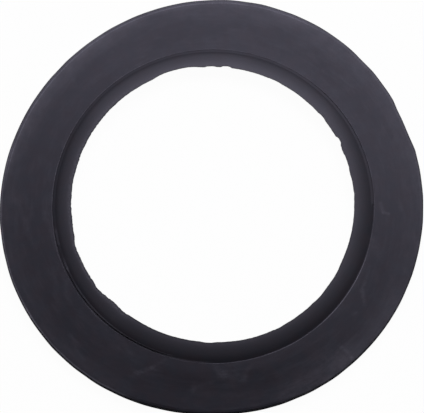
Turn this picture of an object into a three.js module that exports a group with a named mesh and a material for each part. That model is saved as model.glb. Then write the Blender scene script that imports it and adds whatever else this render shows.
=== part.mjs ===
// A flush valve seal: one moulded rubber ring for a tower type flush valve.
//
// The ring is turned from one section. From the rim inwards the section has a tapered side, a broad
// flat flange, a sharp edge over a shallow groove, and a thin lip. The lip rises from the groove in a
// gentle, slightly rounded slope, is hollow underneath, and ends at the bore in an edge where the waste
// skin of the moulding was torn out by hand. Sizes are in millimetres. The ring lies on the XY plane.

import * as THREE from "three";

// Sizes across the ring
const flangeDiameter = 77.8;
const grooveDiameter = 59.0;
const boreDiameter = 51.7;

// Sizes of the flange
const flangeThickness = 2.4;
const rimRadius = 0.15;
const rimTaper = 0.3;
const underEdgeRadius = 0.25;
const grooveEdgeBreak = 0.06;

// Sizes of the groove and of the lip. With a roundness of 0 the lip's slope would be straight, and
// with 1 it would come level at the bore.
const grooveDepth = 0.16;
const grooveFloorWidth = 0.06;
const lipRise = 1.0;
const lipRoundness = 0.45;
const lipRootWidth = 1.3;
const lipRootDrop = 0.25;
const tornEdgeThickness = 0.4;
const tornEdgeRounding = 0.14;
const hollowTaper = 0.15;

// The rim was trimmed freely, so it is a little off centre, a little oval and a little three-cornered.
// The bore is a little off centre too. A lobe is a count of high places, the height of each, and the
// angle of the first.
const rimLobes = [
  { count: 1, height: 0.16, at: 180 },
  { count: 2, height: 0.28, at: 49 },
  { count: 3, height: 0.22, at: 78 },
];
const boreLobes = [{ count: 1, height: 0.08, at: 90 }];

// Places along the rim and along the bore where rubber is missing: the angle of the middle and how
// far it runs along the edge, both in degrees, and how deep it goes
const rimFlats = [{ at: 23, run: 16, depth: 0.28 }];
const boreTears = [
  { at: 27.5, run: 5, depth: 0.4 },
  { at: 39.5, run: 5, depth: 0.2 },
  { at: 84, run: 5, depth: 0.26 },
  { at: 105, run: 22, depth: 0.34 },
  { at: 150, run: 120, depth: 0.12 },
  { at: 180, run: 5, depth: 0.1 },
  { at: 198, run: 7, depth: 0.12 },
  { at: 207, run: 34, depth: 0.45 },
  { at: 304, run: 70, depth: 0.2 },
];

// A thin fin of flash stands in the groove along part of its length, where the lip begins to rise.
const flash = { from: 190, to: 255, height: 0.26, thickness: 0.12, run: 5, fromGrooveEdge: 0.45 };

// How finely the ring is turned
const stepsRound = 144;
const stepsOfSmallArc = 2;
const stepsOfLip = 5;

const rimAt = flangeDiameter / 2;
const grooveAt = grooveDiameter / 2;
const boreAt = boreDiameter / 2;
const lipHeight = flangeThickness + lipRise;
const grooveFloor = flangeThickness - grooveDepth;
const lipFootAt = grooveAt - grooveFloorWidth;
const lipTopAt = boreAt + tornEdgeRounding;
const flashAt = grooveAt - flash.fromGrooveEdge;
const hollowAt = grooveAt - lipRootWidth;
const hollowTop = lipHeight - tornEdgeThickness;
const hollowRoot = grooveFloor - lipRootDrop;

// How high the lip's slope lies at a distance from the axis: it rises faster at its foot than at the
// bore, by its roundness
function lipHeightAt(at) {
  const share = (lipFootAt - at) / (lipFootAt - lipTopAt);
  const risen = share * (1 + lipRoundness) - share * share * lipRoundness;
  return grooveFloor + risen * (lipHeight - grooveFloor);
}

// Points along an arc of a circle in the section, angles in degrees
function arc(centreAt, centreHeight, radius, from, to, steps) {
  const curve = new THREE.EllipseCurve(
    centreAt, centreHeight, radius, radius,
    THREE.MathUtils.degToRad(from), THREE.MathUtils.degToRad(to), to < from,
  );
  return curve.getPoints(steps);
}

function point(at, height) {
  return new THREE.Vector2(at, height);
}

// The section, counter-clockwise: out along the underside, up the rim and back over the top
function section() {
  const edge = tornEdgeRounding;
  const small = stepsOfSmallArc;
  const under = underEdgeRadius;
  const finAt = [1, 0.5, -0.5, -1].map((share) => flashAt + share * flash.thickness);
  const lipAt = Array.from({ length: stepsOfLip }, (_, step) => {
    return THREE.MathUtils.lerp(finAt.at(-1), lipTopAt, (step + 1) / stepsOfLip);
  });
  const run = [
    point(hollowAt + hollowTaper, 0),
    ...arc(rimAt - rimTaper - under, under, under, -90, 0, small),
    ...arc(rimAt - rimRadius, flangeThickness - rimRadius, rimRadius, 0, 90, small),
    point(grooveAt + grooveEdgeBreak, flangeThickness),
    point(grooveAt, flangeThickness - grooveEdgeBreak),
    point(grooveAt, grooveFloor),
    ...[lipFootAt, ...finAt, ...lipAt].map((at) => point(at, lipHeightAt(at))),
    ...arc(lipTopAt, lipHeight - edge, edge, 90, 180, small).slice(1),
    point(boreAt, hollowTop),
    point(hollowAt, hollowRoot),
  ];
  return [...run, run[0].clone()];
}

// How far an angle is from another, in degrees, the short way round
function turn(angle, at) {
  return Math.abs(((angle - at + 540) % 360) - 180);
}

// A dip with a level middle and soft ends, nothing from half its run on
function dip(angle, mark) {
  const share = Math.min(turn(angle, mark.at) / (mark.run / 2), 1);
  return mark.depth * (1 - share ** 4) ** 2;
}

function sum(list, value) {
  return list.reduce((total, item) => total + value(item), 0);
}

function lobeShift(angle, lobes) {
  return sum(lobes, (lobe) => {
    return lobe.height * Math.cos(THREE.MathUtils.degToRad(lobe.count * (angle - lobe.at)));
  });
}

function rimShift(angle) {
  return lobeShift(angle, rimLobes) - sum(rimFlats, (flat) => dip(angle, flat));
}

function boreShift(angle) {
  return lobeShift(angle, boreLobes) + sum(boreTears, (tear) => dip(angle, tear));
}

// The fin's height is full between its ends and runs out at each of them.
function finHeight(angle) {
  const middle = (flash.from + flash.to) / 2;
  const fromEnd = (flash.to - flash.from) / 2 - turn(angle, middle);
  return flash.height * THREE.MathUtils.clamp(fromEnd / flash.run + 1, 0, 1);
}

// The turned ring, with its rim, its torn bore and its flash brought to their true outlines.
// Where the bore is torn back, its edge lies lower by as much as the lip slopes there.
function ring() {
  const geometry = new THREE.LatheGeometry(section(), stepsRound);
  geometry.rotateX(Math.PI / 2);
  const place = geometry.attributes.position;
  const lipMiddle = (boreAt + lipFootAt) / 2;
  for (let i = 0; i < place.count; i += 1) {
    const at = Math.hypot(place.getX(i), place.getY(i));
    const height = place.getZ(i);
    const radians = Math.atan2(place.getY(i), place.getX(i));
    const angle = (THREE.MathUtils.radToDeg(radians) + 360) % 360;
    const rimShare = THREE.MathUtils.clamp((at - grooveAt) / (rimAt - rimRadius - grooveAt), 0, 1);
    const boreShare = THREE.MathUtils.clamp((lipMiddle - at) / (lipMiddle - boreAt), 0, 1);
    const moved = at + rimShare * rimShift(angle) + boreShare * boreShift(angle);
    const slid = at < lipMiddle ? lipHeightAt(moved) - lipHeightAt(at) : 0;
    const onFin = Math.abs(at - flashAt) < flash.thickness * 0.75;
    const lifted = onFin ? finHeight(angle) : 0;
    place.setXYZ(i, moved * Math.cos(radians), moved * Math.sin(radians), height + slid + lifted);
  }
  geometry.computeVertexNormals();
  return geometry;
}

const rubber = new THREE.MeshStandardMaterial({ color: 0x2c2a32, roughness: 0.62, metalness: 0 });

const sealingRing = new THREE.Mesh(ring(), rubber);
sealingRing.name = "sealing_ring";

const seal = new THREE.Group();
seal.add(sealingRing);

export default seal;
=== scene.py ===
# %% [markdown]
# # A flush valve seal
#
# The part is one moulded rubber ring. In a cistern it sits round the foot of the flush valve's tower and
# is pressed on the outlet's seat, so its broad flat flange does the sealing. The ring lies on a table and
# is seen almost from above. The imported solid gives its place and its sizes, and a finer ring is worked out
# over it, with the torn, rubbed and dusty surface of the real one.

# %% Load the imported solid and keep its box
import math

import bpy
import numpy as np
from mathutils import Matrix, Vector


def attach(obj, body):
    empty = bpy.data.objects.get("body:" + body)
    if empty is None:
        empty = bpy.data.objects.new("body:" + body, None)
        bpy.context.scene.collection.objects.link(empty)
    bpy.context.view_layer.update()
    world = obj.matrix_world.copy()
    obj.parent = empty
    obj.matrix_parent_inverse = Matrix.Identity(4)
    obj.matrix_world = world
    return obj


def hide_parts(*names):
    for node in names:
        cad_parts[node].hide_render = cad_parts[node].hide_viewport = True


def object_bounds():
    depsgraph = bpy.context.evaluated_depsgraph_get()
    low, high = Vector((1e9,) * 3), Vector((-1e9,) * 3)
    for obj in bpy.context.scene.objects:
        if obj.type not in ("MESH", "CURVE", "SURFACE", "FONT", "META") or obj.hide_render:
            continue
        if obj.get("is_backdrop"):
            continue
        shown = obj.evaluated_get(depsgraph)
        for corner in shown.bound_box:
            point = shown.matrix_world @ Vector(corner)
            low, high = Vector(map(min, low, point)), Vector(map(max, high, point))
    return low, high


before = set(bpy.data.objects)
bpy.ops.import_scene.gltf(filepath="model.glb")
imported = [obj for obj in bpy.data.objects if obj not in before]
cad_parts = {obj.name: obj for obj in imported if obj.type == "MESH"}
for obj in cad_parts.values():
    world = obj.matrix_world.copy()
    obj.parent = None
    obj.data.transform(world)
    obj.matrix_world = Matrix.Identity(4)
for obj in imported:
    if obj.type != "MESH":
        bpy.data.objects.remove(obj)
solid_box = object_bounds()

MM = 0.001


def print_box(title, box):
    """Prints both corners of a box, each value divided by the metres in one millimetre."""
    print(title, [[round(value / MM, 2) for value in corner] for corner in box])


print_box("solid box, mm:", solid_box)

# %% [markdown]
# ## Sizes
#
# Blender works in metres, and a ring like this is easier to think of in millimetres. Sizes stay in
# millimetres and one factor turns them into metres when a mesh is filled. The driving sizes could be typed
# in again, but typed sizes drift away from the part. So they are read off the solid: how high the
# flange's face is, and how far out the rim, the groove and the bore lie. The rest are plain values, and a
# few differ a little from the solid's, where the picture asks for it.

# %% Read the driving sizes off the solid
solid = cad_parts["sealing_ring"]
corners = np.empty(len(solid.data.vertices) * 3)
solid.data.vertices.foreach_get("co", corners)
corners = corners.reshape(-1, 3) / MM
reach = np.hypot(corners[:, 0], corners[:, 1])
level = corners[:, 2]

# A reach that parts the flange from the lip, and a small depth that tells the points of an edge from the
# others. Then how far the lip stands above the face, and how far off centre the bore is.
MID_FLANGE = 33
SKIM = 0.1
LIP_RISE = 1.0
BORE_OFF_CENTRE = 0.08

on_flange = reach > MID_FLANGE
FACE = level[on_flange].max()
LIP_TOP = FACE + LIP_RISE
HIGHEST = level.max()
RIM = reach[on_flange & (level > FACE - 2 * SKIM) & (level < FACE - SKIM)].mean()
GROOVE = reach[~on_flange & (level > FACE - SKIM) & (level < FACE)].max()
BORE = reach.min() + BORE_OFF_CENTRE
print(f"rim {RIM:.2f}, groove {GROOVE:.2f}, bore {BORE:.2f}, face {FACE:.2f}, top {HIGHEST:.2f} mm")

# %% Name the sizes of the rim
# The radii of its upper and lower edge, how far below the face its side begins to lean in and by how
# much, and the slight band along the top, with how far it drops
RIM_ROUND = 0.2
UNDER_ROUND = 0.25
RIM_SIDE = 1.6
RIM_TAPER = 0.2
RIM_BAND = 0.62
RIM_DROP = 0.02
RIM_TOP = FACE - RIM_DROP
UNDER_EDGE = RIM - RIM_TAPER - UNDER_ROUND
BAND_FROM = RIM - RIM_BAND
print(f"rim's top {RIM_TOP:.2f}, band from {BAND_FROM:.2f} mm")

# %% Name the sizes of the groove, the lip and the fin
# The radius of the groove's edge, the groove's depth and the width of its floor
ARRIS = 0.03
GROOVE_DEPTH = 0.07
FLOOR_WIDTH = 0.04
GROOVE_FLOOR = FACE - GROOVE_DEPTH
LIP_FOOT = GROOVE - FLOOR_WIDTH

# The slopes of the lip at its foot and at its top, as shares of its mean slope, the thickness of its
# torn edge and the small radius on that edge
LIP_SLOPES = (1.45, 0.6)
TORN_EDGE = 0.4
TORN_ROUND = 0.05
EDGE_FROM = BORE + TORN_ROUND

# The hollow under the lip: how far in from the groove's edge and how far under the groove's floor it
# begins, and how far its wall leans
ROOT_WIDTH = 1.3
ROOT_DROP = 0.25
HOLLOW_TAPER = 0.15
HOLLOW = GROOVE - ROOT_WIDTH
HOLLOW_ROOT = GROOVE_FLOOR - ROOT_DROP

# The fin: how far it stands from the groove's edge, half the width of its foot, and its points as shares
# of that half
FIN_FROM_EDGE = 0.36
FIN_HALF = 0.11
FIN_SHARES = np.array([1.0, 0.45, 0.0, -0.45, -1.0])
FIN_AT = GROOVE - FIN_FROM_EDGE
print(f"groove's floor {GROOVE_FLOOR:.2f}, lip's foot {LIP_FOOT:.2f}, fin at {FIN_AT:.2f} mm")

# %% [markdown]
# ## The section of the ring
#
# A moulded ring is the same all round, apart from what was done to it after moulding, so it starts as one
# section. A modeller could draw the section as a curve and spin it. Here the section is a list of points
# worked out from arcs and lines, because the later cells need to know which point lies where. Points are
# close together where the real ring has its fine edges, and far apart on the flat stretches. A few close
# ones also lie on the flat face beside each edge, so that the smooth shading stays flat up to it.

# %% Say how points run along an arc, a line and the lip
def arc(centre, radius, start, end, count):
    """Points on a circle: centre plus radius times (cosine, sine) of angles that run evenly in degrees."""
    turn = np.radians(np.linspace(start, end, count))
    return np.stack([centre[0] + radius * np.cos(turn), centre[1] + radius * np.sin(turn)], -1)


def line(start, end, count):
    """Points that run evenly from start to end: start plus equal shares of the way."""
    return np.linspace(start, end, count)


def lip_height(at):
    """Height of the lip: a cubic from foot to top whose end slopes are shares of its mean slope."""
    foot, top = LIP_SLOPES
    share = (LIP_FOOT - at) / (LIP_FOOT - BORE - TORN_ROUND)
    risen = foot * share + (3 - 2 * foot - top) * share ** 2 + (foot + top - 2) * share ** 3
    return GROOVE_FLOOR + risen * (LIP_TOP - GROOVE_FLOOR)


print(f"lip is {lip_height((LIP_FOOT + BORE) / 2):.2f} mm high half way across")

# %% Lay the points of the section
# How far the close points reach onto the flat face beside an edge
BESIDE = 0.2
fin_at = FIN_AT + FIN_HALF * FIN_SHARES
lip_at = np.concatenate([line(LIP_FOOT, fin_at[0], 5)[:-1], fin_at, line(fin_at[-1], EDGE_FROM, 26)[1:]])
outer_points = np.concatenate([
    line((HOLLOW + HOLLOW_TAPER, 0), (UNDER_EDGE, 0), 7)[:-1],
    arc((UNDER_EDGE, UNDER_ROUND), UNDER_ROUND, -90, 0, 5)[:-1],
    line((RIM - RIM_TAPER, UNDER_ROUND), (RIM, FACE - RIM_SIDE), 4)[:-1],
    line((RIM, FACE - RIM_SIDE), (RIM, RIM_TOP - RIM_ROUND), 3)[:-1],
    arc((RIM - RIM_ROUND, RIM_TOP - RIM_ROUND), RIM_ROUND, 0, 90, 6),
    line((RIM - RIM_ROUND, RIM_TOP), (BAND_FROM, FACE), 9)[1:],
    line((BAND_FROM, FACE), (BAND_FROM - BESIDE, FACE), 5)[1:],
    line((BAND_FROM - BESIDE, FACE), (GROOVE + BESIDE, FACE), 13)[1:],
    line((GROOVE + BESIDE, FACE), (GROOVE + ARRIS, FACE), 5)[1:-1],
    arc((GROOVE + ARRIS, FACE - ARRIS), ARRIS, 90, 180, 6),
    line((GROOVE, FACE - ARRIS), (GROOVE, GROOVE_FLOOR), 4)[1:],
    np.stack([lip_at, lip_height(lip_at)], -1),
    arc((EDGE_FROM, LIP_TOP - TORN_ROUND), TORN_ROUND, 90, 180, 5)[1:],
    line((BORE, LIP_TOP - TORN_ROUND), (BORE, LIP_TOP - TORN_EDGE), 3)[1:-1],
])
hollow_points = np.concatenate([
    line((BORE, LIP_TOP - TORN_EDGE), (HOLLOW, HOLLOW_ROOT), 10),
    line((HOLLOW, HOLLOW_ROOT), (HOLLOW + HOLLOW_TAPER, 0), 4)[1:-1],
])
section = np.concatenate([outer_points, hollow_points])
out, up = section.T
outside = np.arange(len(section)) < len(outer_points)
print(len(section), "points round the section,", len(hollow_points), "of them in the hollow")

# %% [markdown]
# ## What the hand did to it
#
# The rim was trimmed freely, so it is a little oval and three-cornered, with small flats. At the bore the
# waste skin was pulled out by hand and took some rubber with it: long shallow tears and a few nicks. All
# this could be sculpted, but then nothing says how deep a nick is. Here each place is a plain row of an
# angle, a run along the edge in degrees and a depth, as it would be noted at the bench, and a smooth dip
# stands over it. A depth below nought is a place where rubber was left standing. The solid has the same
# main places.

# %% Go round the ring in even steps
STEPS_ROUND = 880
SEED = 7
angle = np.arange(STEPS_ROUND) * 360 / STEPS_ROUND
chance = np.random.default_rng(SEED)
print(f"{STEPS_ROUND} steps round, one every {angle[1]:.2f} degrees")

# %% Note the places where rubber is missing
# A lobe is a count of high places, the height of each and the angle of the first. A flat or a tear is the
# angle of its middle, its run and its depth.
RIM_LOBES = [(1, 0.16, 180), (2, 0.28, 49), (3, 0.22, 78)]
RIM_FLATS = [(23, 16, 0.28), (44, 6, 0.03), (72, 9, 0.04), (138, 6, 0.04), (231, 8, 0.03)]
BORE_TEARS = [
    (27.2, 4.6, 0.3), (39.2, 4.6, 0.12), (84.6, 4.8, 0.26), (105, 22, 0.34), (150, 120, 0.12),
    (180, 5, 0.1), (198, 7, 0.12), (207, 34, 0.45), (304, 70, 0.2), (91, 5, 0.14), (172, 12, 0.05),
    (231, 6, 0.14), (297, 5, 0.06), (318, 6, 0.05), (330, 9, 0.05), (4, 3, 0.04), (64, 7, 0.05),
    (219.5, 11, 0.2), (190, 7, 0.12), (268, 7, 0.12), (13, 5, -0.1), (22.5, 4, -0.1),
]
print(len(RIM_FLATS), "flats at the rim,", len(BORE_TEARS), "tears at the bore")


# %% Say how a dip, a soft step and a ripple run
def apart(one, other):
    """Degrees between two directions, the short way round."""
    return np.abs((one - other + 180) % 360 - 180)


def dip(at, run, depth):
    """depth times (1 - share to the fourth) squared: level in the middle, nothing from half the run on."""
    share = np.minimum(apart(angle, at) / (run / 2), 1)
    return depth * (1 - share ** 4) ** 2


def ease(value, low, high):
    """0 below low, 1 above high and 3s^2 - 2s^3 of the share s between them."""
    share = np.clip((value - low) / (high - low), 0, 1)
    return share * share * (3 - 2 * share)


def waver(lowest, highest, height):
    """A ripple that closes on itself: a sum of cosines that go round a whole number of times."""
    counts = np.arange(lowest, highest)
    sizes = chance.normal(size=len(counts))
    starts = chance.uniform(0, 2 * math.pi, len(counts))
    rippled = np.cos(np.radians(angle)[:, None] * counts + starts) @ sizes
    return height * rippled / math.sqrt(len(counts) / 2)


print("a dip 10 degrees long takes in", np.count_nonzero(dip(0, 10, 1)), "steps")

# %% Move the rim and the bore
rim_shift = sum(height * np.cos(np.radians(count * (angle - at))) for count, height, at in RIM_LOBES)
rim_shift = rim_shift - sum(dip(*flat) for flat in RIM_FLATS)
bore_shift = sum(dip(*tear) for tear in BORE_TEARS) + BORE_OFF_CENTRE * np.cos(np.radians(angle - 90))
print(f"rim from {rim_shift.min():.2f} to {rim_shift.max():.2f}, tears up to {bore_shift.max():.2f} mm")

# %% [markdown]
# ## How strong each thing is along the ring
#
# The bore's edge is roughest where most rubber went, on the left. One stretch of the groove's edge is
# scraped, the groove's edge runs out of round at three others, and the trimmed rim wanders. A painted
# mask could hold all this. Rows are easier to read and to change: a strength that holds everywhere, and
# then rows of two angles, a fade in degrees and a strength that is added between them. Ripples take
# their height from these.

# %% Say how a strength runs along the ring
def stretch(start, end, fade):
    """1 between two angles, easing to 0 over fade degrees beyond each of them."""
    middle, half = (start + end) / 2, (end - start) / 2
    return 1 - ease(apart(angle, middle), half, half + fade)


def strength(everywhere, rows):
    """everywhere, plus for each row of (start, end, fade, more) more times its stretch."""
    return sum((more * stretch(*span) for *span, more in rows), everywhere)


TORN = (0.25, [(128, 226, 14, 0.75), (20, 42, 6, 0.25)])
SCRAPED = (150, 176, 6)
torn = strength(*TORN)
scraped = stretch(*SCRAPED)
print(f"torn strength from {torn.min():.2f} to {torn.max():.2f}")

# %% Let the edges wander
GROOVE_WANDER = (0, [(199, 223, 14, 0.24), (300, 336, 12, 0.08), (60, 162, 18, -0.07)])
RIM_WANDER = [
    (226, 248, 12, 0.09), (284, 304, 12, 0.10), (96, 128, 10, -0.06), (28, 52, 8, -0.06),
    (188, 194, 5, -0.08),
]

# Ripples: the least and the greatest count of waves, and the height
BORE_RIPPLES = [(12, 60, 0.012), (60, 240, 0.011)]
BORE_RIPPLE_EVERYWHERE = 0.4
RIM_RIPPLE = (7, 50, 0.012)

groove_shift = strength(*GROOVE_WANDER)
bore_shift += (BORE_RIPPLE_EVERYWHERE + torn) * sum(waver(*ripple) for ripple in BORE_RIPPLES)
rim_shift += strength(waver(*RIM_RIPPLE), RIM_WANDER)
print(f"groove's edge from {groove_shift.min():.2f} to {groove_shift.max():.2f} mm")

# %% [markdown]
# ## The fin of flash
#
# Where the two halves of a mould don't quite close, rubber creeps between them and leaves a skin as thin
# as paper. Here it stands in the groove on the lower left, with a break near its upper end and a small
# jog. It could be a strip of its own, set into the groove, but it is part of the moulding. So it is made
# by lifting three points of the section, and it grows out of the groove without a seam.

# %% Work out how high the fin stands
FIN_HEIGHT = 0.24
FIN_SPAN = (209, 247, 10)
FIN_BREAK = (196.2, 196.9)
FIN_STUB = (190, 195, 1)
FIN_STUB_SHARE = 0.4
FIN_RIPPLE = (20, 90, 0.08)
fin = stretch(*FIN_SPAN) * ease(angle, *FIN_BREAK) + FIN_STUB_SHARE * stretch(*FIN_STUB)
fin = FIN_HEIGHT * fin * (1 + waver(*FIN_RIPPLE))
print(f"fin up to {fin.max():.2f} mm high")

# %% Bend the fin outwards and give it its jog
# A bend is two angles and how far out the fin lies before them. At the jog the fin drifts slowly inwards
# and then steps out again at once.
FIN_BENDS = [(224, 246, 0.16), (200, 228, 0.11)]
FIN_JOG = 0.05
JOG_BACK = (197, 211)
JOG_STEP = (211, 212.5)
fin_jog = sum(far * (1 - ease(angle, start, end)) for start, end, far in FIN_BENDS)
fin_jog = fin_jog + FIN_JOG * ease(angle, *JOG_STEP) - FIN_JOG * ease(angle, *JOG_BACK)
print(f"fin bends out by up to {fin_jog.max():.2f} mm")

# %% [markdown]
# ## The ring's surface
#
# Every point of the surface is a function of two numbers: which way round it lies and where it sits on
# the section. Whole arrays over both give each point's reach and height. A modeller could push the rim
# and the bore about by hand with soft selection. Here a point takes a share of the rim's, the groove's or
# the bore's shift by how far out it is, so the flange stretches smoothly between them. Where the lip is
# torn back, its edge slides down the lip's slope, as it does on the real ring.

# %% Share out the shifts over the section
# The groove's shift eases in over this much of the lip's foot, and out over this much of the face.
FOOT_EASE = 0.05
FACE_EASE = 2
A_HAIR_MORE = 1.01
rim_share = np.clip((out - GROOVE) / (RIM - RIM_ROUND - GROOVE), 0, 1)
groove_share = ease(out, LIP_FOOT - FOOT_EASE, LIP_FOOT) * (1 - ease(out, GROOVE + ARRIS, GROOVE + FACE_EASE))
groove_share = groove_share * outside
lip_middle = (BORE + LIP_FOOT) / 2
bore_share = np.clip((lip_middle - out) / (lip_middle - BORE), 0, 1)
on_fin = np.where(outside & (np.abs(out - FIN_AT) < FIN_HALF / 2), 1, 0)
near_arris = np.abs(out - GROOVE - ARRIS / 2) < ARRIS
on_arris = np.where(outside & near_arris & (up > FACE - ARRIS * A_HAIR_MORE), 1, 0)
print(on_fin.sum(), "points on the fin,", on_arris.sum(), "on the groove's edge")

# %% Roughen the torn band and the scraped edge
# The grain is full up to the first distance from the bore and gone at the second.
GRAIN_BAND = (0.25, 0.95)
GRAIN_HEIGHT = 0.028
SCRAPE_HEIGHT = 0.012
near_bore = np.where(outside, 1 - ease(out - BORE, *GRAIN_BAND), 0)
grain = chance.normal(size=(STEPS_ROUND, len(section)))
grain = (grain + np.roll(grain, 1, 0) + np.roll(grain, 1, 1)) / math.sqrt(3)
torn_grain = grain * torn[:, None] * near_bore * GRAIN_HEIGHT
scrape_grain = np.abs(grain * scraped[:, None] * on_arris * SCRAPE_HEIGHT)
print(f"grain up to {np.abs(torn_grain).max():.3f} mm, scrape up to {scrape_grain.max():.3f} mm")

# %% Carry the section round and let the damage move it
across = out + rim_share * rim_shift[:, None] + bore_share * bore_shift[:, None]
across = across + groove_share * groove_shift[:, None]
slid = np.where(out < lip_middle, lip_height(across) - lip_height(out), 0)
across = across + on_fin * fin_jog[:, None] + torn_grain + scrape_grain
height = up + slid + on_fin * fin[:, None] - np.abs(torn_grain) * (out > EDGE_FROM) - scrape_grain
height = np.minimum(height, HIGHEST)
print("grid", across.shape)

# %% [markdown]
# ## Where the marks lie
#
# The ring has marks that follow its own forms: a rubbed rim, a bloom of wax at the outer edge of the face
# that also carries painted glare, a polished stretch and a torn band. Pale lines along its edges and on the
# fin are painted highlights, one of them painted light in the groove, and the lip is made paler with painted
# light, most where it faces the lamps.
# They could be painted on a texture, but that needs an unwrapped ring and a picture. Each one is simpler as
# a profile over the section times a strength along the ring, kept as a number at every point of the mesh,
# and the finish reads these numbers by name.

# %% Say how a mark lies over the section
def band(middle, width):
    """A bell: e to the power of minus the square of (distance from middle over width), not in the hollow."""
    return np.exp(-((out - middle) / width) ** 2) * outside


def outwards(low, high):
    """0 nearer to the axis than low, 1 beyond high and eased between them, not in the hollow."""
    return ease(out, low, high) * outside


def both(profile, along):
    """profile over the section times along round the ring, for every point of the grid."""
    return profile * along[:, None]


print("a line 0.1 mm wide on the groove's edge takes in", (band(GROOVE, 0.1) > 0.5).sum(), "points")

# %% Work out the marks that are wide
# Each ease is where a mark begins and where it is full, going outwards, and each strength is what holds
# everywhere and then its rows.
RIM_RUBBED = (1, [(256, 284, 12, -0.8), (-20, 20, 10, -0.8), (32, 118, 8, -0.7)])
# The bloom is partly wax bloom and partly painted glare: the face made paler towards the rim, most at 124 to
# 154 degrees and not at all at the bottom.
BLOOM_AND_GLARE_EASE = (34.5, RIM - 0.5)
BLOOM_AND_GLARE = (0.045, [(250, 300, 10, -0.045), (18, 90, 20, 0.035), (124, 154, 20, 0.15), (310, 330, 10, 0.06)])
POLISH_IN = (30.2, 32.5)
POLISH_OUT = (33.8, 36.2)
POLISHED = (0.5, [(262, 292, 18, 1.1), (338, 368, 14, 0.5), (174, 190, 12, 0.4), (36, 104, 18, -1.3)])
# The lit lip is painted light: the lip paler on the side that faces the lamps, most at 88 to 138 degrees.
LIT_LIP_STRENGTH = (0, [(88, 138, 18, 0.8), (42, 78, 12, 0.4), (156, 228, 10, 0.35), (-12, 18, 14, -0.3)])
BAND_FADE = 0.1
A_HAIR = 0.01

by_the_rim = outwards(BAND_FROM - BAND_FADE, BAND_FROM + BAND_FADE)
mid_face = outwards(*POLISH_IN) * (1 - outwards(*POLISH_OUT))
up_the_lip = np.where(outside & (out < GROOVE - A_HAIR), (GROOVE - out) / (GROOVE - BORE), 0)
marks = {
    "torn": both(near_bore, torn),
    "scraped": both(on_arris, scraped),
    "lip": up_the_lip,
    "painted_lit_lip": strength(*LIT_LIP_STRENGTH)[:, None],
    "rim": both(by_the_rim, strength(*RIM_RUBBED)),
    "bloom_and_painted_glare": both(outwards(*BLOOM_AND_GLARE_EASE), strength(*BLOOM_AND_GLARE)),
    "polish": both(mid_face, strength(*POLISHED)),
}
print(len(marks), "wide marks")

# %% Work out the painted highlights along the edges
# Each line is how far out it lies, its width, its strength everywhere, and its rows. They are painted light:
# a painted highlight along the inner side of the rim's band, one beside the rim's round and one beside the
# groove's sharp edge, and at the foot of the lip painted light that lifts the shade in the groove
PAINTED_LIGHT_LINES = [
    (BAND_FROM - 0.05, 0.13, 0, [(66, 166, 12, 0.34)]),
    (RIM - 0.26, 0.12, 0, [(168, 210, 10, 0.42), (214, 240, 8, 0.34)]),
    (GROOVE + 0.08, 0.065, 0.16, [
        (205, 262, 8, -0.13), (288, 336, 14, 0.20), (316, 335, 9, 0.42), (118, 168, 14, 0.14),
        (186, 200, 6, 0.05),
    ]),
    (GROOVE - 0.13, 0.10, 0, [(222, 264, 8, 0.24), (208, 222, 8, 0.12), (118, 160, 14, 0.06)]),
]
# The fin's pale top is a painted highlight, which fades out near the fin's break.
FIN_PAINTED_HIGHLIGHT = 0.16
FIN_HIGHLIGHT_FADED = (1, [(188, 207, 5, -0.85)])

lines = sum(both(band(at, width), strength(everywhere, rows)) for at, width, everywhere, rows in PAINTED_LIGHT_LINES)
fin_painted_highlight = FIN_PAINTED_HIGHLIGHT * np.minimum(fin / FIN_HEIGHT, 1) * strength(*FIN_HIGHLIGHT_FADED)
marks["lines"] = lines + both(on_fin, fin_painted_highlight)
print(len(PAINTED_LIGHT_LINES), "pale lines and the fin")

# %% Work out where the rubber has no shine
# The trimmed side of the rim, and the very edge of the bore, fading away from it over a small distance
SIDE_FROM = RIM - 0.4
SIDE_TOP = RIM_TOP - 0.1
EDGE_STARTS, EDGE_FADE, EDGE_ENDS = BORE + 0.02, 0.14, BORE + 0.5
MATT_EDGE = (0.35, [(240, 345, 12, 0.25), (345, 480, 15, -0.35)])

rim_side = np.where((out > SIDE_FROM) & (up < SIDE_TOP), 1, 0)
faded = np.exp(-(np.maximum(out - EDGE_STARTS, 0) / EDGE_FADE) ** 2)
bore_edge = np.where(out < EDGE_ENDS, faded, 0)
marks["matt"] = rim_side + both(bore_edge, strength(*MATT_EDGE))
print(len(marks), "marks in all")

# %% [markdown]
# ## Filling the mesh
#
# The grid closes in both directions, round the axis and round the section, so its faces join each point to
# the next, with the last one joined to the first. A torus could be stretched to this shape with modifiers,
# but a grid that is filled from arrays keeps every worked-out point where it belongs. The marks go along
# with the points as named attributes.

# %% Fill the mesh
SHARP_FROM = math.radians(38)


def fill_ring(name, across, height, marks):
    """A closed grid: points at (across cos, across sin, height), four-sided faces with normals outwards."""
    rounds, count = across.shape
    turn = np.radians(angle)[:, None]
    points = np.stack([across * np.cos(turn), across * np.sin(turn), height], -1).reshape(-1, 3) * MM
    step, place = np.meshgrid(np.arange(rounds), np.arange(count), indexing="ij")
    ahead, beside = (step + 1) % rounds, (place + 1) % count
    faces = [step * count + place, ahead * count + place, ahead * count + beside, step * count + beside]
    mesh = bpy.data.meshes.new(name)
    mesh.from_pydata(points, [], np.stack(faces, -1).reshape(-1, 4))
    for label, values in marks.items():
        spread = np.broadcast_to(values, across.shape).astype(np.float32)
        mesh.attributes.new(label, "FLOAT", "POINT").data.foreach_set("value", spread.ravel())
    mesh.shade_smooth()
    mesh.set_sharp_from_angle(angle=SHARP_FROM)
    made = bpy.data.objects.new(name, mesh)
    bpy.context.scene.collection.objects.link(made)
    return made


ring = fill_ring("moulded_ring", across, height, marks)
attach(ring, "root")
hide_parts("sealing_ring")
print(len(ring.data.polygons) * 2, "triangles")

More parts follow.
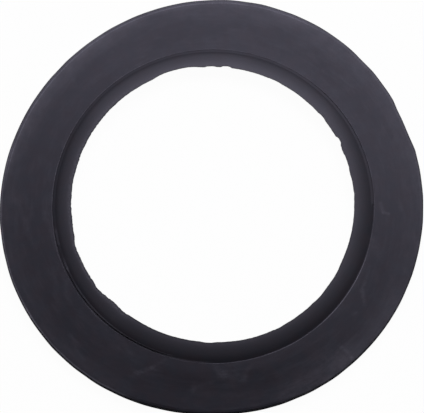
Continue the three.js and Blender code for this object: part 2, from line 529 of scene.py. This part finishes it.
# %% [markdown]
# ## Writing shader sums as Python sums
#
# A finish is a sum of many small things, and a chain of Math nodes is hard to read. One small class stands
# for a wire inside the material and turns +, - and * into Math nodes. Anything else, such as a noise or a
# mixed colour, comes from one method that adds a node.

# %% A wire in a material
class Wire:
    """One output of a node. Each operator adds the Math node that works it out."""

    def __init__(self, finish, socket):
        self.finish, self.socket = finish, socket

    def __add__(self, other):
        return self.finish.maths("ADD", self, other)

    def __sub__(self, other):
        return self.finish.maths("SUBTRACT", self, other)

    def __rsub__(self, other):
        return self.finish.maths("SUBTRACT", other, self)

    def __mul__(self, other):
        return self.finish.maths("MULTIPLY", self, other)

    __radd__ = __add__
    __rmul__ = __mul__


print("wires ready")


# %% A material that holds the wires
class Finish:
    """A material's nodes, with one method for any node and a few for the common ones."""

    def __init__(self, name):
        self.material = bpy.data.materials.new(name)
        self.material.use_nodes = True
        self.nodes = self.material.node_tree.nodes
        self.links = self.material.node_tree.links
        self.shader = self.nodes["Principled BSDF"]

    def set(self, socket, value):
        """Links a wire to a socket, or writes a plain value into it."""
        if isinstance(value, Wire):
            self.links.new(value.socket, socket)
        else:
            socket.default_value = value

    def feed(self, label, value):
        """Gives the material's own shader one of its values."""
        self.set(self.shader.inputs[label], value)

    def node(self, kind, settings, values, result=0):
        """Adds one node: first its settings, then its sockets by name or place; gives the wanted output."""
        made = self.nodes.new(kind)
        for label, value in settings.items():
            setattr(made, label, value)
        for label, value in values.items():
            self.set(made.inputs[label], value)
        return Wire(self, made.outputs[result])

    def maths(self, operation, first, second):
        """One number from two, by the named operation."""
        return self.node("ShaderNodeMath", {"operation": operation}, {0: first, 1: second})

    def vector(self, operation, first, second=(0, 0, 0), result="Vector"):
        """One vector or number from two vectors, or from the first alone, by the named operation."""
        return self.node("ShaderNodeVectorMath", {"operation": operation}, {0: first, 1: second}, result)

    def scale(self, vector, factor):
        """Each part of a vector times the same factor."""
        values = {0: vector, "Scale": factor}
        return self.node("ShaderNodeVectorMath", {"operation": "SCALE"}, values)

    def ease(self, value, low, high, bottom=0.0, top=1.0):
        """bottom below low, top above high, and an eased share between them."""
        values = {"Value": value, "From Min": low, "From Max": high, "To Min": bottom, "To Max": top}
        return self.node("ShaderNodeMapRange", {"interpolation_type": "SMOOTHSTEP"}, values)

    def noise(self, place, size, detail, roughness=0.55):
        """Cloudy noise whose lumps are about size millimetres across, from 0 to 1."""
        values = {"Vector": place, "Scale": 1 / size, "Detail": detail, "Roughness": roughness}
        return self.node("ShaderNodeTexNoise", {}, values)

    def patches(self, place, size, detail, roughness, low, high):
        """The same noise with more contrast: 0 where it is below low and 1 where it is above high."""
        return self.ease(self.noise(place, size, detail, roughness), low, high)

    def mixed(self, share, first, second):
        """first where share is 0 and second where it is 1, for colours."""
        return self.node("ShaderNodeMix", {"data_type": "RGBA"}, {0: share, 6: first, 7: second}, 2)

    def attribute(self, label):
        """The number that the mesh carries under this name."""
        return self.node("ShaderNodeAttribute", {"attribute_name": label}, {}, "Fac")

    def cover(self, share, second):
        """Shows the material's own shader where share is 0 and a second shader where it is 1."""
        shaders = {0: share, 1: Wire(self, self.shader.outputs[0]), 2: second}
        surface = self.node("ShaderNodeMixShader", {}, shaders)
        self.set(self.nodes["Material Output"].inputs["Surface"], surface)


print("shader sums ready")

# %% [markdown]
# ## Where things lie on the rubber
#
# The finish works in the same millimetres as the mesh, from the object's own coordinates. Wiping a ring
# with a cloth leaves streaks that follow it round. Unwrapping the ring would straighten them, but it would
# also leave a seam. So a second place is worked out whose lumps are long in that direction: the direction
# from the axis, drawn small, with the distance from the axis on top.

# %% Coordinates for the rubber
WIPE_STRETCH = 7.0
rubber = Finish("moulded_black_rubber")
place = rubber.scale(rubber.node("ShaderNodeTexCoord", {}, {}, "Object"), 1 / MM)
flat = rubber.vector("MULTIPLY", place, (1, 1, 0))
from_axis = rubber.vector("LENGTH", flat, result="Value")
outward = rubber.scale(rubber.vector("NORMALIZE", flat), WIPE_STRETCH)
wiped = rubber.vector("ADD", outward, rubber.node("ShaderNodeCombineXYZ", {}, {"Z": from_axis}))
print("coordinates ready")

# %% [markdown]
# ## Scuffs and smears
#
# The face carries faint pale marks: where it was dragged on a table, where a thumb smeared the bloom and
# where dust sits. They could be painted too. Here each is a short stroke from one point to another with a
# width and a strength. The shader takes the distance from the stroke's line, fades the mark with it and
# lets a noise break the mark up, so no stroke looks ruled.

# %% Note the strokes
# Each row is two points on the face and a width, in millimetres, and a strength.
STROKES = [
    ((-36.1, 0.8), (-32.5, -7.9), 1.00, 0.26),
    ((-34.6, 1.5), (-33.4, -2.4), 1.40, 0.18),
    ((-29.8, 1.7), (-30.8, -2.4), 1.30, 0.16),
    ((-30.9, -1.0), (-28.6, -8.2), 0.90, 0.20),
    ((-31.4, 8.3), (-29.8, 5.6), 1.70, 0.18),
    ((-14.1, -31.4), (-11.2, -30.4), 0.70, 0.42),
    ((-11.2, -30.4), (-8.8, -28.9), 0.60, 0.26),
    ((-14.4, -31.6), (-10.4, -30.6), 1.60, 0.16),
    ((0.2, -30.3), (2.2, -31.6), 1.10, 0.26),
    ((1.6, -31.6), (5.4, -32.2), 1.50, 0.40),
    ((2.4, -30.4), (6.4, -30.6), 1.60, 0.07),
    ((5.6, -32.2), (6.8, -29.9), 0.80, 0.14),
    ((-3.6, -34.3), (1.3, -32.2), 0.90, 0.20),
    ((-5.0, -36.2), (-3.2, -33.8), 1.20, 0.14),
    ((13.4, -35.6), (24.0, -27.8), 3.40, 0.38),
    ((12.0, -31.5), (21.0, -27.6), 1.40, 0.17),
    ((17.5, -35.0), (27.5, -26.5), 1.60, 0.22),
    ((23.1, -26.4), (24.3, -27.4), 0.60, 0.42),
    ((25.1, -28.5), (25.2, -28.6), 0.55, 0.85),
    ((28.6, -11.4), (27.2, -16.1), 0.60, 0.34),
    ((27.2, -16.1), (27.6, -18.7), 0.70, 0.42),
    ((25.9, -20.1), (25.6, -20.4), 0.70, 0.35),
    ((30.7, 0.2), (31.2, -1.5), 0.60, 0.36),
    ((31.2, -1.5), (32.2, -1.7), 0.45, 0.55),
    ((34.2, 0.3), (34.5, -0.9), 0.60, 0.26),
    ((29.1, -6.5), (30.0, -9.5), 1.60, 0.26),
    ((20.3, 25.4), (26.1, 21.2), 0.50, 0.20),
    ((22.3, 24.9), (25.9, 22.2), 0.45, 0.16),
    ((-26.4, 25.8), (-25.5, 22.6), 0.80, 0.20),
    ((-25.9, -24.4), (-23.6, -28.9), 0.90, 0.24),
    ((-27.2, -10.4), (-26.4, -18.2), 1.00, 0.18),
    ((-29.3, -12.0), (-28.1, -19.6), 1.10, 0.16),
    ((-24.0, -20.0), (-14.5, -29.0), 1.60, 0.12),
    ((-20.0, -21.5), (-15.0, -27.5), 1.00, 0.12),
]
print(len(STROKES), "strokes")


# %% Turn the strokes into one mask
def stroke(start, end, width, strength):
    """strength on the line from start to end, easing to 0 at width away from it."""
    first, last = np.array([*start, 0.0]), np.array([*end, 0.0])
    length = float(np.linalg.norm(last - first))
    along = tuple((last - first) / length)
    away = rubber.vector("SUBTRACT", flat, tuple(first))
    run = rubber.vector("DOT_PRODUCT", away, along, "Value")
    held = rubber.node("ShaderNodeClamp", {}, {"Value": run, "Min": 0.0, "Max": length})
    distance = rubber.vector("DISTANCE", away, rubber.scale(along, held), "Value")
    return rubber.ease(distance, 0.0, width, strength, 0.0)


smears = stroke(*STROKES[0])
for row in STROKES[1:]:
    smears = smears + stroke(*row)
print(len(rubber.nodes), "nodes for the strokes")

# %% Break the strokes up
CLOUDY_SHARE, STREAKY_SHARE = 0.55, 0.45
BROKEN_EASE = (0.36, 0.62)
SMEAR_LEAST, SMEAR_MORE = 0.25, 0.85
cloudy = rubber.noise(place, size=1.1, detail=5.0, roughness=0.75)
streaky = rubber.noise(wiped, size=0.5, detail=3.0, roughness=0.6)
broken = rubber.ease(CLOUDY_SHARE * cloudy + STREAKY_SHARE * streaky, *BROKEN_EASE)
smears = smears * (SMEAR_LEAST + SMEAR_MORE * broken)
print("smears ready")

# %% [markdown]
# ## The colour of the rubber
#
# Black rubber is never quite black. Wax and talc bloom to its surface and turn it a bluish charcoal, in
# soft clouds and in wipe streaks, and the torn grains themselves are grey. The lip is made paler towards its
# torn edge and on the side that faces the lamps, which is painted light. One grey with noise over it would
# look like stone. So two nearly black colours are mixed in clouds, and a pale one is mixed in by the sum of
# everything that makes the rubber paler, painted light and painted highlights included.

# %% Lay out the clouds, streaks and specks
clouds = rubber.noise(place, size=5.0, detail=4.0)
tint = rubber.patches(place, size=2.8, detail=4.0, roughness=0.6, low=0.36, high=0.64)
streaks = rubber.patches(wiped, size=0.8, detail=3.0, roughness=0.6, low=0.45, high=0.75)
wipes = rubber.patches(wiped, size=1.5, detail=4.0, roughness=0.65, low=0.36, high=0.66)
specks = rubber.patches(place, size=0.22, detail=2.0, roughness=0.6, low=0.66, high=0.74)
grains = rubber.patches(place, size=0.3, detail=3.0, roughness=0.7, low=0.42, high=0.66)
mottled = rubber.patches(place, size=2.6, detail=5.0, roughness=0.66, low=0.30, high=0.70) - 0.5
print("clouds, streaks and specks ready")

# %% Read the marks from the mesh
LIP_BEGINS = 0.03
mark = {label: rubber.attribute(label) for label in marks}
lip = mark["lip"]
on_lip = rubber.ease(lip, 0.0, LIP_BEGINS)
on_face = 1 - on_lip
print("marks read:", ", ".join(mark))

# %% Add up what makes the rubber paler
# Each number is a share of the pale colour. ALL holds wherever the mark is, and the other names say what
# the rest follows.
SMEARED, STREAKED, CLOUDED, SPECKED = 0.20, 0.010, 0.015, 0.03
# The lip's shares are painted light: the lip made paler all over, and more so towards the bore.
LIP_PAINTED_LIGHT_ALL, LIP_PAINTED_LIGHT_TOWARDS_BORE = 0.06, 0.20
TORN_ALL, TORN_GRAINS = 0.05, 0.22
# Painted light: the lit lip's shares make the lip paler, most where it faces the lamps.
LIT_LIP_ALL, LIT_LIP_MORE = 0.035, 0.12
LIT_LIP_EASE = (0.08, 0.4)
SCRAPED_GRAINS = 0.9
RIM_ALL, RIM_STREAKS = 0.04, 0.04
# The lines' shares paint highlights along the edges and light in the groove.
PAINTED_LIGHT_ALL, PAINTED_LIGHT_GRAINS = 0.7, 0.6

pale = SMEARED * smears + STREAKED * streaks + CLOUDED * clouds + SPECKED * specks
pale = pale + LIP_PAINTED_LIGHT_ALL * on_lip + LIP_PAINTED_LIGHT_TOWARDS_BORE * lip * lip
pale = pale + mark["torn"] * (TORN_ALL + TORN_GRAINS * grains)
pale = pale + (LIT_LIP_ALL + LIT_LIP_MORE * mark["painted_lit_lip"]) * rubber.ease(lip, *LIT_LIP_EASE)
pale = pale + SCRAPED_GRAINS * mark["scraped"] * grains + mark["rim"] * (RIM_ALL + RIM_STREAKS * streaks)
# This adds the painted highlight lines and the bloom, which is partly painted glare.
pale = pale + mark["lines"] * (PAINTED_LIGHT_ALL + PAINTED_LIGHT_GRAINS * grains) + mark["bloom_and_painted_glare"]
print("paleness ready")

# %% Mix the colour
DARK = (0.0056, 0.0034, 0.0044, 1)
BLUISH = (0.0030, 0.0038, 0.0056, 1)
# The pale colour stands for dust and wear, and also for the painted light on the lip, the painted highlights
# along the edges and the painted glare by the rim.
PALE_DUST_AND_LIGHT = (0.16, 0.155, 0.185, 1)

# The face is uneven: its pale share changes with the mottling, and drifts about it both ways.
UNEVEN = 0.3
DRIFT_MOTTLED, DRIFT_STREAKS, DRIFT_WIPES = 0.020, 0.020, 0.024
STREAKS_MEAN, WIPES_MEAN = 0.3, 0.5

drift = DRIFT_MOTTLED * mottled + DRIFT_STREAKS * (streaks - STREAKS_MEAN)
drift = drift + DRIFT_WIPES * (wipes - WIPES_MEAN)
pale = pale * (1 + UNEVEN * mottled * on_face) + drift * on_face
rubber.feed("Base Color", rubber.mixed(pale, rubber.mixed(tint, DARK, BLUISH), PALE_DUST_AND_LIGHT))
print("colour ready")

# %% [markdown]
# ## The shine and the grain
#
# Moulded rubber has a soft shine that is a little uneven, duller on the lip and dull where it is torn. Its
# skin has a fine grain from the mould, which is too small to model and goes in as a bump. The trimmed side
# of the rim and the very edge of the bore have lost that skin, so a plain dark surface without any shine
# covers them. Without it they would mirror the white table at a low angle and show as bright rims.

# %% Set the shine
DULL = 0.35
DULL_CLOUDS, CLOUDS_MEAN = 0.06, 0.5
DULL_LIP, DULL_TORN = 0.15, 0.2
SHINY_POLISH, SHINY_MOTTLED = 0.035, 0.03
MIRRORS = 0.27
MIRROR_TINT = (0.833, 0.81, 1.0, 1)
dullness = DULL + DULL_CLOUDS * (clouds - CLOUDS_MEAN) + DULL_LIP * on_lip + DULL_TORN * mark["torn"]
dullness = dullness - SHINY_POLISH * mark["polish"] - SHINY_MOTTLED * mottled
rubber.feed("Roughness", dullness)
rubber.feed("Specular IOR Level", MIRRORS)
rubber.feed("Specular Tint", MIRROR_TINT)
print("shine ready")

# %% Raise the grain and cover the cut places
FINE_GRAIN, WIDE_WAVES = 0.6, 0.9
GRAIN_SHOWS = 0.35
GRAIN_DEPTH = 0.02
CUT_RUBBER = (0.010, 0.009, 0.011, 1)
fine = rubber.noise(place, size=0.25, detail=2.0)
wide = rubber.noise(place, size=2.5, detail=2.0)
skin = FINE_GRAIN * fine + WIDE_WAVES * wide * on_face + mark["torn"] * grains
bump = {"Strength": GRAIN_SHOWS, "Distance": GRAIN_DEPTH * MM, "Height": skin}
rubber.feed("Normal", rubber.node("ShaderNodeBump", {}, bump))
rubber.cover(mark["matt"], rubber.node("ShaderNodeBsdfDiffuse", {}, {"Color": CUT_RUBBER}))
ring.data.materials.append(rubber.material)
print(len(rubber.nodes), "nodes in the rubber")

# %% [markdown]
# ## The table
#
# The ring lies on a plain white table that runs out of sight. It shows white to the camera with only a
# trace of the ring's shadow, as on a light table. More light would also make a table white, but it would
# burn out the ring, so the white comes from the table's own material: to the camera and in mirror images
# it glows almost fully, and to all other light it is plain white paper.

# %% Lay the table
TABLE_HALF = 2500
TABLE_DROP = 0.02


def make_table():
    """One square face: corners at plus and minus half its side, a hair below the ring."""
    half, low = TABLE_HALF * MM, -TABLE_DROP * MM
    points = [(-half, -half, low), (half, -half, low), (half, half, low), (-half, half, low)]
    mesh = bpy.data.meshes.new("table")
    mesh.from_pydata(points, [], [(0, 1, 2, 3)])
    made = bpy.data.objects.new("table", mesh)
    bpy.context.scene.collection.objects.link(made)
    return made


table = make_table()
print("table laid")

# %% Make it white to the camera
TABLE_GLOW = 0.97
PAPER_WHITE = (0.9, 0.9, 0.9, 1)
PAPER_ROUGHNESS = 0.9
paper = Finish("white_table")
paper.feed("Base Color", PAPER_WHITE)
paper.feed("Roughness", PAPER_ROUGHNESS)


def ray(kind):
    """1 for the rays of one kind that meet the table, and 0 for all others."""
    return paper.node("ShaderNodeLightPath", {}, {}, f"Is {kind} Ray")


seen = paper.maths("MAXIMUM", paper.maths("MAXIMUM", ray("Camera"), ray("Glossy")), ray("Transmission"))
glow = paper.node("ShaderNodeEmission", {}, {"Color": (1, 1, 1, 1), "Strength": 1.0})
paper.cover(seen * TABLE_GLOW, glow)
table.data.materials.append(paper.material)
table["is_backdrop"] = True
print("table is white")

# %% [markdown]
# ## The light
#
# The tone of the face looks like the mirror image of one broad window behind the ring. Three soft round
# lamps side by side, high up behind the ring, stand for it: the middle one is the strongest, the left one
# is next and the right one is the weakest. One wide lamp would do for the shadow, but not for the tone,
# which changes round the ring. The rubber mirrors the lamps weakly, so the face is palest at the top of
# the picture and darkens towards the bottom, and the edges that face the lamps carry a bright line. An
# even sky fills the rest.

# %% Set the lamps
LAMP_ELEVATION = 58
LAMP_AWAY = 600
LAMP_WIDTH = 340
COOL = (0.95, 0.94, 1.0)


def soft_lamp(name, azimuth, power, colour):
    """A round lamp: its place is its direction from the ring times its distance, and it faces the ring."""
    lamp = bpy.data.lights.new(name, "AREA")
    lamp.shape, lamp.size, lamp.energy, lamp.color = "DISK", LAMP_WIDTH * MM, power, colour
    made = bpy.data.objects.new(name, lamp)
    bpy.context.scene.collection.objects.link(made)
    turn, rise = math.radians(azimuth), math.radians(LAMP_ELEVATION)
    towards = Vector((math.cos(turn) * math.cos(rise), math.sin(turn) * math.cos(rise), math.sin(rise)))
    made.location = towards * (LAMP_AWAY * MM)
    made.rotation_euler = towards.to_track_quat("Z", "Y").to_euler()


# A name, the direction it stands in, counted in degrees from the picture's right, its power and its colour
LAMPS = [
    ("left_window_light", 108, 0.91, (0.945, 0.925, 1.0)),
    ("middle_window_light", 72, 1.60, COOL),
    ("right_window_light", 36, 0.65, (0.96, 0.95, 0.965)),
]
for lamp in LAMPS:
    soft_lamp(*lamp)
print(len(LAMPS), "lamps set")

# %% Set the sky
SKY_STRENGTH = 0.05
sky = bpy.data.worlds.new("sky")
sky.use_nodes = True
background = sky.node_tree.nodes["Background"]
background.inputs["Color"].default_value = (*COOL, 1)
background.inputs["Strength"].default_value = SKY_STRENGTH
bpy.context.scene.world = sky
bpy.context.scene.view_settings.view_transform = "Standard"
print("sky set")

# %% [markdown]
# ## The camera
#
# The outlines of the ring are squashed by about two parts in a hundred, so the camera looks down at 77.4
# degrees, from fifteen ring radii away. A camera can be dragged until its view fits, but these can be
# worked out: the lens follows from how many pixels of the picture one millimetre of the ring takes, and
# the shift from where the ring's middle lies in the picture.

# %% Set the camera
PICTURE = (424, 413)
PIXELS_PER_MM = 5.430
RING_AT = (213.12, 207.37)
TILT = math.radians(12.6)
AWAY = 585.0
SENSOR = 36
NEAREST, FARTHEST = 50, 10000

camera = bpy.data.cameras.new("camera")
camera.sensor_width = SENSOR
camera.lens = SENSOR * AWAY * PIXELS_PER_MM / PICTURE[0]
camera.shift_x = (PICTURE[0] / 2 - RING_AT[0]) / PICTURE[0]
camera.shift_y = (RING_AT[1] - PICTURE[1] / 2) / PICTURE[0]
camera.clip_start, camera.clip_end = NEAREST * MM, FARTHEST * MM
watcher = bpy.data.objects.new("camera", camera)
bpy.context.scene.collection.objects.link(watcher)
watcher.location = Vector((0, -math.sin(TILT), math.cos(TILT))) * AWAY * MM
watcher.rotation_euler = (TILT, 0, 0)
bpy.context.scene.camera = watcher
print(f"lens {camera.lens:.1f} mm")

# %% [markdown]
# ## Last: keep the sizes and finish
#
# The made ring has to stay inside the solid's box, so both boxes are written down side by side.

# %% Write both boxes and finish
made_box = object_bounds()
print_box("made box, mm:", made_box)
